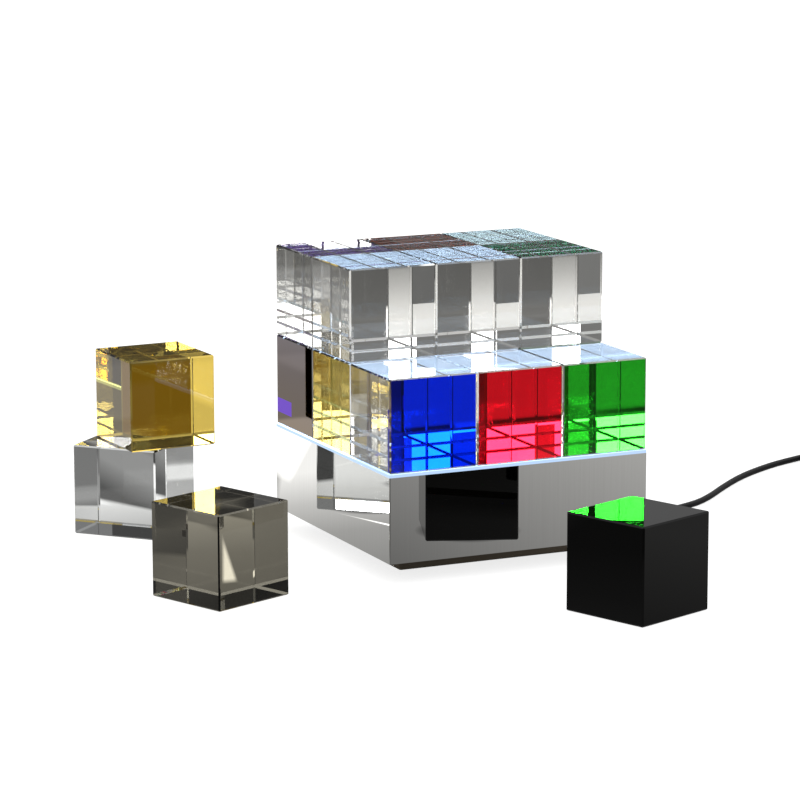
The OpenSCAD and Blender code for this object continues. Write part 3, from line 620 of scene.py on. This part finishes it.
tone = add(tree, "Mix", {0: dish, 6: lin("#fbfaf2"), 7: gel}, pick=2, data_type="RGBA")
glow = add(tree, "Math", {0: dish, 1: 4}, operation="MULTIPLY")
lamp = {
    "Base Color": tone, "Roughness": 0.4,
    "Emission Color": lin("#e1efff"), "Emission Strength": glow}
put_on(material, add(tree, "BsdfPrincipled", lamp), "lamps")

# %% [markdown]
# ## Metals inside
# The deck is aluminium sheet with the rolling lines of the mill on it. The pillars are turned from bar,
# so their lines run round, which a noise drawn out along X and Y gives. The nut blocks are sawn from
# drawn brass, and the screws are zinc plated, with the faint yellow and blue of the bath. In each the
# marks set the roughness as much as the colour, because that is what the eye reads as a tool mark.

# %% Sheet, bar, brass and zinc
def worked_metal(name, low_tone, high_tone, draw, line_w, dull, *names):
    material, tree = start_finish(name)
    place = add(tree, "TexCoord", pick="Object")
    drawn = add(tree, "Mapping", {"Vector": place, "Scale": draw})
    marks = add(
        tree, "TexNoise",
        {"Vector": drawn, "Scale": 1 / (line_w * MM), "Detail": 4, "Roughness": 0.6})
    tone = add(tree, "Mix", {0: marks, 6: lin(low_tone), 7: lin(high_tone)}, pick=2, data_type="RGBA")
    gloss = add(tree, "MapRange", {"Value": marks, "To Min": dull - 0.1, "To Max": dull + 0.14})
    cut = add(tree, "Bump", {"Strength": 0.4, "Distance": 0.01 * MM, "Height": marks})
    metal = {"Base Color": tone, "Metallic": 1, "Roughness": gloss, "Normal": cut}
    put_on(material, add(tree, "BsdfPrincipled", metal), *names)


worked_metal("rolled_aluminium", "#a2a5a8", "#bfc2c5", (0.02, 1, 1), 0.4, 0.36, "deck")
worked_metal("turned_aluminium", "#b4b6b9", "#d0d2d4", (0.03, 0.03, 1), 0.3, 0.28, "pillars")
worked_metal("sawn_brass", "#a98a3a", "#d2b25e", (1, 0.05, 1), 0.35, 0.34, "nut_blocks")
worked_metal("zinc_plate", "#a9adb4", "#c9c3ae", (1, 1, 1), 1.6, 0.3, "base_screws", "deck_screws")

# %% [markdown]
# ## The driver
# The driver turns the supply into the current that the lamps want. Its board has a green mask over
# copper tracks: the edges of a coarse cell pattern make a believable network of them. All its parts are
# one node of the construction, so their finishes are told apart by position: a green terminal block, a
# drum of copper wire between ferrite flanges, two capacitors in dark sleeves with bare tops, a black
# chip on tinned legs and the white output socket.

# %% Green board
material, tree = start_finish("green_solder_mask")
place = add(tree, "TexCoord", pick="Object")
cells = add(
    tree, "TexVoronoi", {"Vector": place, "Scale": 1 / (7 * MM), "Randomness": 0.6},
    pick="Distance", feature="DISTANCE_TO_EDGE")
tracks = add(
    tree, "MapRange", {"Value": cells, "From Min": 0.05, "From Max": 0.09, "To Min": 1, "To Max": 0})
tone = add(tree, "Mix", {0: tracks, 6: lin("#0f4526"), 7: lin("#1f7240")}, pick=2, data_type="RGBA")
lift = add(tree, "Bump", {"Strength": 0.6, "Distance": 0.05 * MM, "Height": tracks})
mask = {"Base Color": tone, "Roughness": 0.3, "Normal": lift}
put_on(material, add(tree, "BsdfPrincipled", mask), "driver_board")

# %% Parts on the board
board_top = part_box("driver_board")[1].z
material, tree = start_finish("driver_part_finishes")
place = add(tree, "TexCoord", pick="Object")
axes = add(tree, "SeparateXYZ", {0: place}, pick=None)
rough_skin = add(tree, "TexNoise", {"Vector": place, "Scale": 1 / (0.5 * MM), "Detail": 3})
tone = add(tree, "Mix", {0: rough_skin, 6: lin("#141416"), 7: lin("#262629")}, pick=2, data_type="RGBA")
# Middle in X and Y, half width and half depth, height from and to above the board, colour
part_colours = [
    (32, 0, 5.5, 7, 0, 12, "#2f7d4a"), (0, 0, 4.5, 4.5, 0, 12, "#ecece4"),
    (-18.5, 0, 8.5, 8.5, 0, 12, "#3b3b3e"), (-18.5, 0, 8.5, 8.5, 1.9, 9.1, "#b4632c"),
    (14.8, 11, 4.5, 4.5, 0, 12.5, "#1c2746"), (14.8, -11, 4.5, 4.5, 0, 12.5, "#1c2746"),
    (14.8, 11, 3.4, 3.4, 11.8, 12.5, "#c9cbce"), (14.8, -11, 3.4, 3.4, 11.8, 12.5, "#c9cbce"),
    (-18.5, -14, 5, 6, 0, 0.7, "#c4c6c8")]
for x, y, reach_x, reach_y, z_from, z_to, code in part_colours:
    in_x = add(tree, "Math", {0: axes[X], 1: x * MM, 2: reach_x * MM}, operation="COMPARE")
    in_y = add(tree, "Math", {0: axes[Y], 1: y * MM, 2: reach_y * MM}, operation="COMPARE")
    mid = board_top + (z_from + z_to) / 2 * MM
    in_z = add(tree, "Math", {0: axes[Z], 1: mid, 2: (z_to - z_from) / 2 * MM}, operation="COMPARE")
    inside = add(tree, "Math", {0: in_x, 1: in_y}, operation="MULTIPLY")
    inside = add(tree, "Math", {0: inside, 1: in_z}, operation="MULTIPLY")
    tone = add(tree, "Mix", {0: inside, 6: tone, 7: lin(code)}, pick=2, data_type="RGBA")
grain = add(tree, "Bump", {"Strength": 0.3, "Distance": 0.03 * MM, "Height": rough_skin})
parts = {"Base Color": tone, "Roughness": 0.42, "Normal": grain}
put_on(material, add(tree, "BsdfPrincipled", parts), "driver_parts")

# %% Red and black wires
material, tree = start_finish("wire_vinyl")
place = add(tree, "TexCoord", pick="Object")
axes = add(tree, "SeparateXYZ", {0: place}, pick=None)
second = add(tree, "Math", {0: axes[Y], 1: 0}, operation="LESS_THAN")
drawn = add(tree, "TexNoise", {"Vector": place, "Scale": 1 / (0.6 * MM), "Detail": 2})
red = add(tree, "Mix", {0: drawn, 6: lin("#8f1515"), 7: lin("#ad2222")}, pick=2, data_type="RGBA")
tone = add(tree, "Mix", {0: second, 6: red, 7: lin("#141416")}, pick=2, data_type="RGBA")
put_on(material, add(tree, "BsdfPrincipled", {"Base Color": tone, "Roughness": 0.35}), "driver_wires")

# %% [markdown]
# ## The room behind the glass
# Glass and mirrors show the room, so the room is part of the picture. Through the cubes the eye sees
# only a few narrow directions: straight on and down to the floor behind, the same mirrored to the left,
# and both of them mirrored upward, where a bright window stands low over the floor. The world is dim
# and plain, with a few patches of light and dark at the azimuths and heights, in degrees, that those
# folded rays have. Only rays that come straight from glass or a mirror see all this. Dull surfaces are
# lit by an even level instead, which keeps grain out of them, and the camera itself sees white.

# %% Kinds of rays
def sharp_rays(tree, path):
    kinds = {0: path["Is Glossy Ray"], 1: path["Is Transmission Ray"]}
    return add(tree, "Math", kinds, operation="MAXIMUM")


def direct_rays(tree, path):
    return add(tree, "Math", {0: path["Diffuse Depth"], 1: 0.5}, operation="LESS_THAN")


# %% The room's directions
front_wall, back_wall, ceiling, even_light = 0.12, 0.2, 0.6, 0.9
scene = bpy.context.scene
world = bpy.data.worlds.new("room")
world.use_nodes = True
scene.world = world
tree = world.node_tree
tree.nodes.clear()
path = add(tree, "LightPath", pick=None)
away = add(tree, "SeparateXYZ", {0: add(tree, "TexCoord", pick="Generated")}, pick=None)
azimuth = add(tree, "Math", {0: away[X], 1: away[Y]}, operation="ARCTAN2")
azimuth = add(tree, "Math", {0: azimuth}, operation="DEGREES")
height = add(tree, "Math", {0: away[Z]}, operation="ARCSINE")
height = add(tree, "Math", {0: height}, operation="DEGREES")
level = add(
    tree, "MapRange",
    {"Value": away[Y], "From Min": -0.2, "From Max": 0.2, "To Min": front_wall, "To Max": back_wall})
print("walls", front_wall, "to", back_wall, "ceiling", ceiling, "even light", even_light)

# %% Patches of light and dark
# Azimuth from and to, height from and to, and the brightness
sky_patches = [
    (-30, -24.3, 10.5, 13, 36), (-25.05, -24.5, 9.1, 10.5, 36), (-26.4, -25.85, 9.1, 10.5, 36),
    (-27.8, -27.25, 9.1, 10.5, 36), (-24.3, -22, 7, 8.55, 10), (22.4, 23.45, 9, 12.2, 5),
    (22.8, 23.45, 12.2, 14, 5), (110, 120, 13.2, 15.5, 0.01), (-72, -62, 13.2, 15.5, 0.01),
    (23.45, 23.95, 11.2, 14, 5), (19.9, 22.3, 9.5, 15, 0.04), (22.3, 28.9, 7, 9.05, 0.012),
    (156, 157.8, 9, 13, 4), (24.2, 30, 12.2, 14.5, 0.3), (-24.3, -23.4, 12.5, 12.95, 20)]
for az0, az1, el0, el1, bright in sky_patches:
    in_az = add(
        tree, "Math", {0: azimuth, 1: (az0 + az1) / 2, 2: (az1 - az0) / 2}, operation="COMPARE")
    in_el = add(
        tree, "Math", {0: height, 1: (el0 + el1) / 2, 2: (el1 - el0) / 2}, operation="COMPARE")
    inside = add(tree, "Math", {0: in_az, 1: in_el}, operation="MULTIPLY")
    level = add(tree, "MapRange", {"Value": inside, "To Min": level, "To Max": bright})
upper = add(
    tree, "MapRange", {"Value": away[Z], "From Min": 0.3, "From Max": 0.7},
    interpolation_type="SMOOTHSTEP")
level = add(tree, "MapRange", {"Value": upper, "To Min": level, "To Max": ceiling})
seeing = add(
    tree, "Math", {0: sharp_rays(tree, path), 1: direct_rays(tree, path)}, operation="MULTIPLY")
level = add(tree, "MapRange", {"Value": seeing, "To Min": even_light, "To Max": level})
level = add(tree, "MapRange", {"Value": path["Is Camera Ray"], "To Min": level, "To Max": 1.0})
glow = add(tree, "Background", {"Color": white, "Strength": level})
out = tree.nodes.new("ShaderNodeOutputWorld")
tree.links.new(glow, out.inputs["Surface"])
print("patches", len(sky_patches), "brightest", max(p[4] for p in sky_patches))

# %% [markdown]
# ## The floor
# The floor is pale, and it keeps the shadow of what stands on it. To the camera it runs out into white.
# In glass and in the mirrors it shows painted light and shade, an emission laid on it as the room's
# light would fall: brighter on the left, falling off toward the back, dim in front, with a painted light
# wedge behind the block and painted shadow under each cube. This painted light is built up in layers,
# each laid over the one before, with places in metres. A profile is a ramp along one axis. A strip is a
# mask between two lines, and one strip within another gives a field.

# %% Floor
floor_half, floor_gap = 6, 0.1 * MM
bm = bmesh.new()
bmesh.ops.create_grid(bm, x_segments=1, y_segments=1, size=floor_half)
bmesh.ops.translate(bm, verts=bm.verts, vec=(0, 0, -floor_gap))
floor_mesh = bpy.data.meshes.new("floor")
bm.to_mesh(floor_mesh)
bm.free()
floor = bpy.data.objects.new("floor", floor_mesh)
bpy.context.collection.objects.link(floor)
floor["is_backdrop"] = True
print("floor", 2 * floor_half, "m wide")

# %% Masks and profiles for the floor
open_end = 9


def profile(tree, value, marks):
    first, last = marks[0][0], marks[-1][0]
    along = add(tree, "MapRange", {"Value": value, "From Min": first, "From Max": last})
    return add(tree, "ValToRGB", {0: along}, stops=[((m - first) / (last - first), v) for m, v in marks])


def strip(tree, value, low, high, soft, within=1):
    rise = add(
        tree, "MapRange", {"Value": value, "From Min": low, "From Max": low + soft, "To Max": within})
    return add(
        tree, "MapRange", {"Value": value, "From Min": high, "From Max": high - soft, "To Max": rise})


print("strips reach", open_end, "m where they are open")

# %% [markdown]
# The floor left of the base has one profile of painted light toward the back, and the rest has another.
# The block's painted shadow lies behind it and leans as the camera's view does. Fields of painted light
# and painted shade with straight and with slanting edges lie on the left, where the folded views through
# the left faces end, and a streak of painted light narrows to nothing beside the base.

# %% The floor's two profiles of painted light, and the block's painted shadow
view_lean = 0.46
material, tree = start_finish("floor_paint_and_painted_light")
path = add(tree, "LightPath", pick=None)
place = add(tree, "TexCoord", pick="Object")
axes = add(tree, "SeparateXYZ", {0: place}, pick=None)
right_side = [
    (-0.5, 0.1), (0.0, 0.1), (0.1, 0.12), (0.38, 0.27), (0.45, 0.12), (0.6, 0.14), (0.69, 0.2),
    (0.76, 0.14), (1.1, 0.1)]
left_side = [
    (-0.5, 0.15), (-0.1, 0.2), (-0.02, 0.3), (0.05, 0.38), (0.12, 0.6), (0.2, 1.0), (0.33, 1.0),
    (0.36, 0.78), (0.5, 0.78), (0.69, 1.0), (0.764, 0.85), (0.857, 0.58), (0.93, 0.42), (0.95, 0.05),
    (1.1, 0.05)]
# Both profiles are painted light and shade: emission levels laid on the floor by place.
right_shade = profile(tree, axes[Y], right_side)
left_shade = profile(tree, axes[Y], left_side)
left = add(tree, "MapRange", {"Value": axes[X], "From Min": -0.08, "From Max": -0.09})
shade = add(tree, "MapRange", {"Value": left, "To Min": right_shade, "To Max": left_shade})

# The block's shadow is painted here as a dark field behind it.
leaning = add(tree, "Math", {0: axes[Y], 1: view_lean, 2: axes[X]}, operation="MULTIPLY_ADD")
painted_block_shadow = strip(tree, leaning, -0.04, open_end, 0.006)
painted_block_shadow = strip(tree, axes[Y], 0.09, 0.34, 0.02, painted_block_shadow)
shade = add(tree, "MapRange", {"Value": painted_block_shadow, "To Min": shade, "To Max": 0.2})
print("profiles of", len(right_side), "and", len(left_side), "marks")

# %% Fields of painted light and painted shade on the left
# X from and to, Y from and to, and the brightness
painted_fields = [
    (-open_end, -0.29, -open_end, 0.2, 0.35), (-0.29, -0.24, 0.04, 0.2, 1.1),
    (-open_end, -0.27, 0.38, 0.58, 1.0)]
# Each field paints a flat level of light or shade over what lies below it.
for x0, x1, y0, y1, bright in painted_fields:
    painted_field = strip(tree, axes[X], x0, x1, 0.01)
    painted_field = strip(tree, axes[Y], y0, y1, 0.02, painted_field)
    shade = add(tree, "MapRange", {"Value": painted_field, "To Min": shade, "To Max": bright})
print("fields with straight edges", len(painted_fields))

# %% Fields of painted light and painted shade with slanting edges
# A painted fall of light across X, used as the brightness of the second slant.
painted_gradient = add(
    tree, "MapRange",
    {"Value": axes[X], "From Min": -0.114, "From Max": -0.086, "To Min": 0.08, "To Max": 0.33})
# Fall in Y over a metre of X, X from and to, Y where the edges cross the middle, and the brightness
painted_slants = [
    (1.77, -0.22, -0.125, -0.049, open_end, 1.4), (2.36, -0.26, -0.05, -0.098, open_end, painted_gradient),
    (0.512, -0.40, -0.186, 0.049, 0.073, 0.05)]
# Each slant paints light or shade. The last one is a painted dark strip.
for fall, x0, x1, cross0, cross1, bright in painted_slants:
    leaning = add(tree, "Math", {0: axes[X], 1: fall, 2: axes[Y]}, operation="MULTIPLY_ADD")
    painted_slant = strip(tree, leaning, cross0, cross1, 0.006)
    painted_slant = strip(tree, axes[Y], 0.1, 0.36, 0.01, painted_slant)
    painted_slant = strip(tree, axes[X], x0, x1, 0.01, painted_slant)
    shade = add(tree, "MapRange", {"Value": painted_slant, "To Min": shade, "To Max": bright})
print("fields with slanting edges", len(painted_slants))

# %% The streak of painted light beside the base
outer_lean, outer_edge = 0.402, -0.1574
inner_lean, inner_edge = 0.318, -0.1488
streak_y0, streak_y1, streak_level = -0.012, 0.1, 2.2
to_outer = add(tree, "Math", {0: axes[Y], 1: -outer_lean, 2: axes[X]}, operation="MULTIPLY_ADD")
to_inner = add(tree, "Math", {0: axes[Y], 1: -inner_lean, 2: axes[X]}, operation="MULTIPLY_ADD")
# The streak is painted light, more than twice as bright as the white floor.
painted_light_streak = strip(tree, to_outer, outer_edge, open_end, 0.002)
painted_light_streak = strip(tree, to_inner, -open_end, inner_edge, 0.002, painted_light_streak)
painted_light_streak = strip(tree, axes[Y], streak_y0, streak_y1, 0.01, painted_light_streak)
shade = add(tree, "MapRange", {"Value": painted_light_streak, "To Min": shade, "To Max": streak_level})
print("streak of brightness", streak_level)

# %% [markdown]
# In front of the base the floor is what the mirror skin and the black cube reflect. A profile of painted
# light across gives it, dim at both ends, and it falls dark farther out.

# %% Painted light on the floor in front
# The front profile is painted light and shade on the floor.
front_row = [
    (-0.5, 0.08), (-0.15, 0.10), (-0.05, 0.15), (0.2, 0.40), (0.3, 0.38), (0.34, 0.12), (1.0, 0.1)]
front_shade = profile(tree, axes[X], front_row)
outer = add(tree, "MapRange", {"Value": axes[Y], "From Min": -0.33, "From Max": -0.36})
front_shade = add(tree, "MapRange", {"Value": outer, "To Min": front_shade, "To Max": 0.08})
front = add(tree, "MapRange", {"Value": axes[Y], "From Min": -0.06, "From Max": -0.10})
shade = add(tree, "MapRange", {"Value": front, "To Min": shade, "To Max": front_shade})
print("front profile of", len(front_row), "marks")

# %% [markdown]
# The last layers are painted too: the wedge of painted light far behind the block, painted shadow under
# each cube that stands on the floor, and a dim patch of painted warm light nearer behind the block, which
# the amber cube shows in its front face. Rays from glass and mirrors see this painted light as it is, and
# all others see grey paint, which takes the real shadows. For the camera a glow is added that lifts the
# paint to white.

# %% The painted light wedge, the painted shadow under the cubes, and the painted warm light
wedge_start, wedge_y0, wedge_y1 = 0.13, 0.625, 0.84
# The wedge is a pool of painted light.
aside = add(tree, "Math", {0: axes[X]}, operation="ABSOLUTE")
inside = add(tree, "Math", {0: axes[Y], 1: view_lean, 2: -wedge_start}, operation="MULTIPLY_ADD")
inside = add(tree, "Math", {0: inside, 1: aside}, operation="SUBTRACT")
painted_light_wedge = strip(tree, inside, 0, open_end, 0.01)
painted_light_wedge = strip(tree, axes[Y], wedge_y0, wedge_y1, 0.02, painted_light_wedge)
shade = add(tree, "MapRange", {"Value": painted_light_wedge, "To Min": shade, "To Max": 1.6})
painted_shadow_r, soft_r = 0.022, 0.030
# Painted shadow: the floor's emission falls nearly to black under each cube.
for cube in ("smoke_cube", "grey_cube", "black_cube"):
    low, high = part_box(cube)
    middle = ((low.x + high.x) / 2, (low.y + high.y) / 2, 0)
    off = add(tree, "VectorMath", {0: place, 1: middle}, pick="Value", operation="DISTANCE")
    painted_cube_shadow = add(tree, "MapRange", {"Value": off, "From Min": soft_r, "From Max": painted_shadow_r})
    shade = add(tree, "MapRange", {"Value": painted_cube_shadow, "To Min": shade, "To Max": 0.03})
# A dim patch of painted warm light, coloured amber.
painted_warm_light = strip(tree, axes[X], -0.06, 0.10, 0.01)
painted_warm_light = strip(tree, axes[Y], 0.30, 0.61, 0.02, painted_warm_light)
shade = add(tree, "MapRange", {"Value": painted_warm_light, "To Min": shade, "To Max": 0.19})
painted_light_hue = add(tree, "Mix", {0: painted_warm_light, 6: lin("#fffefc"), 7: lin("#ffdb45")}, pick=2, data_type="RGBA")
print("dark under the cubes out to", soft_r, "m")

# %% What each kind of ray sees of the floor
camera_lift = 0.8
# The painted light and shade of all the layers above, as an emission that glass and mirrors see.
painted_floor_light = add(tree, "Emission", {"Color": painted_light_hue, "Strength": shade})
painted = add(tree, "BsdfDiffuse", {"Color": lin("#bcbcbc")})
lift = add(tree, "Emission", {"Color": white, "Strength": camera_lift})
shown = add(tree, "AddShader", {0: lift, 1: painted})
surface = add(tree, "MixShader", {0: sharp_rays(tree, path), 1: painted, 2: painted_floor_light})
surface = add(tree, "MixShader", {0: path["Is Camera Ray"], 1: surface, 2: shown})
put_on(material, surface)
floor_mesh.materials.append(material)

# %% [markdown]
# ## Screens for the folded views
# A few narrow screens stand behind the block, out of the camera's sight, where single folded views end.
# They light or dim one cube's band against the next, as the furniture of a real room does. A screen is
# a flat grid turned upright. It casts no shadow and lights nothing: it only shows through glass.

# %% Screens
def stand_screen(name, x0, x1, z0, z1, y, strength):
    bm = bmesh.new()
    bmesh.ops.create_grid(bm, x_segments=1, y_segments=1, size=0.5)
    bmesh.ops.scale(bm, verts=bm.verts, vec=(x1 - x0, z1 - z0, 1))
    bmesh.ops.rotate(bm, verts=bm.verts, matrix=Matrix.Rotation(math.pi / 2, 3, "X"))
    bmesh.ops.translate(bm, verts=bm.verts, vec=((x0 + x1) / 2, y, (z0 + z1) / 2))
    bmesh.ops.scale(bm, verts=bm.verts, vec=(MM, MM, MM))
    mesh = bpy.data.meshes.new(name)
    bm.to_mesh(mesh)
    bm.free()
    screen = bpy.data.objects.new(name, mesh)
    bpy.context.collection.objects.link(screen)
    screen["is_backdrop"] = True
    screen.visible_camera = False
    screen.visible_diffuse = False
    screen.visible_glossy = False
    screen.visible_shadow = False
    material, tree = start_finish(name + "_paint")
    direct = direct_rays(tree, add(tree, "LightPath", pick=None))
    level = add(tree, "Math", {0: direct, 1: strength}, operation="MULTIPLY")
    put_on(material, add(tree, "Emission", {"Color": white, "Strength": level}))
    mesh.materials.append(material)


# X from and to, Z from and to, Y, and the brightness
screens = [
    (-192.5, -175.5, 118, 150, 325, 1.3), (-147, -133.5, 118, 150, 325, 1.3),
    (-77, -54, 118, 150, 325, 1.6), (-197, -179.5, 72, 100, 375, 0.15),
    (-157, -139, 68, 100, 375, 0.15), (-116, -98.6, 70, 100, 375, 0.2), (54.5, 59, 59, 109, 80, 0.08)]
for i, (x0, x1, z0, z1, y, strength) in enumerate(screens):
    stand_screen("screen_%d" % i, x0, x1, z0, z1, y, strength)

# %% [markdown]
# ## How far light is followed
# A ray can cross three cubes and be folded many times before it leaves the block, so the render follows
# glass for many more bounces than usual. The picture is shown as it is, without a film look.

# %% Render values that belong to the scene
scene.view_settings.view_transform = "Standard"
scene.cycles.max_bounces = 40
scene.cycles.transmission_bounces = 40
scene.cycles.glossy_bounces = 16
scene.cycles.diffuse_bounces = 3
print("bounces", scene.cycles.max_bounces)

low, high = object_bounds()
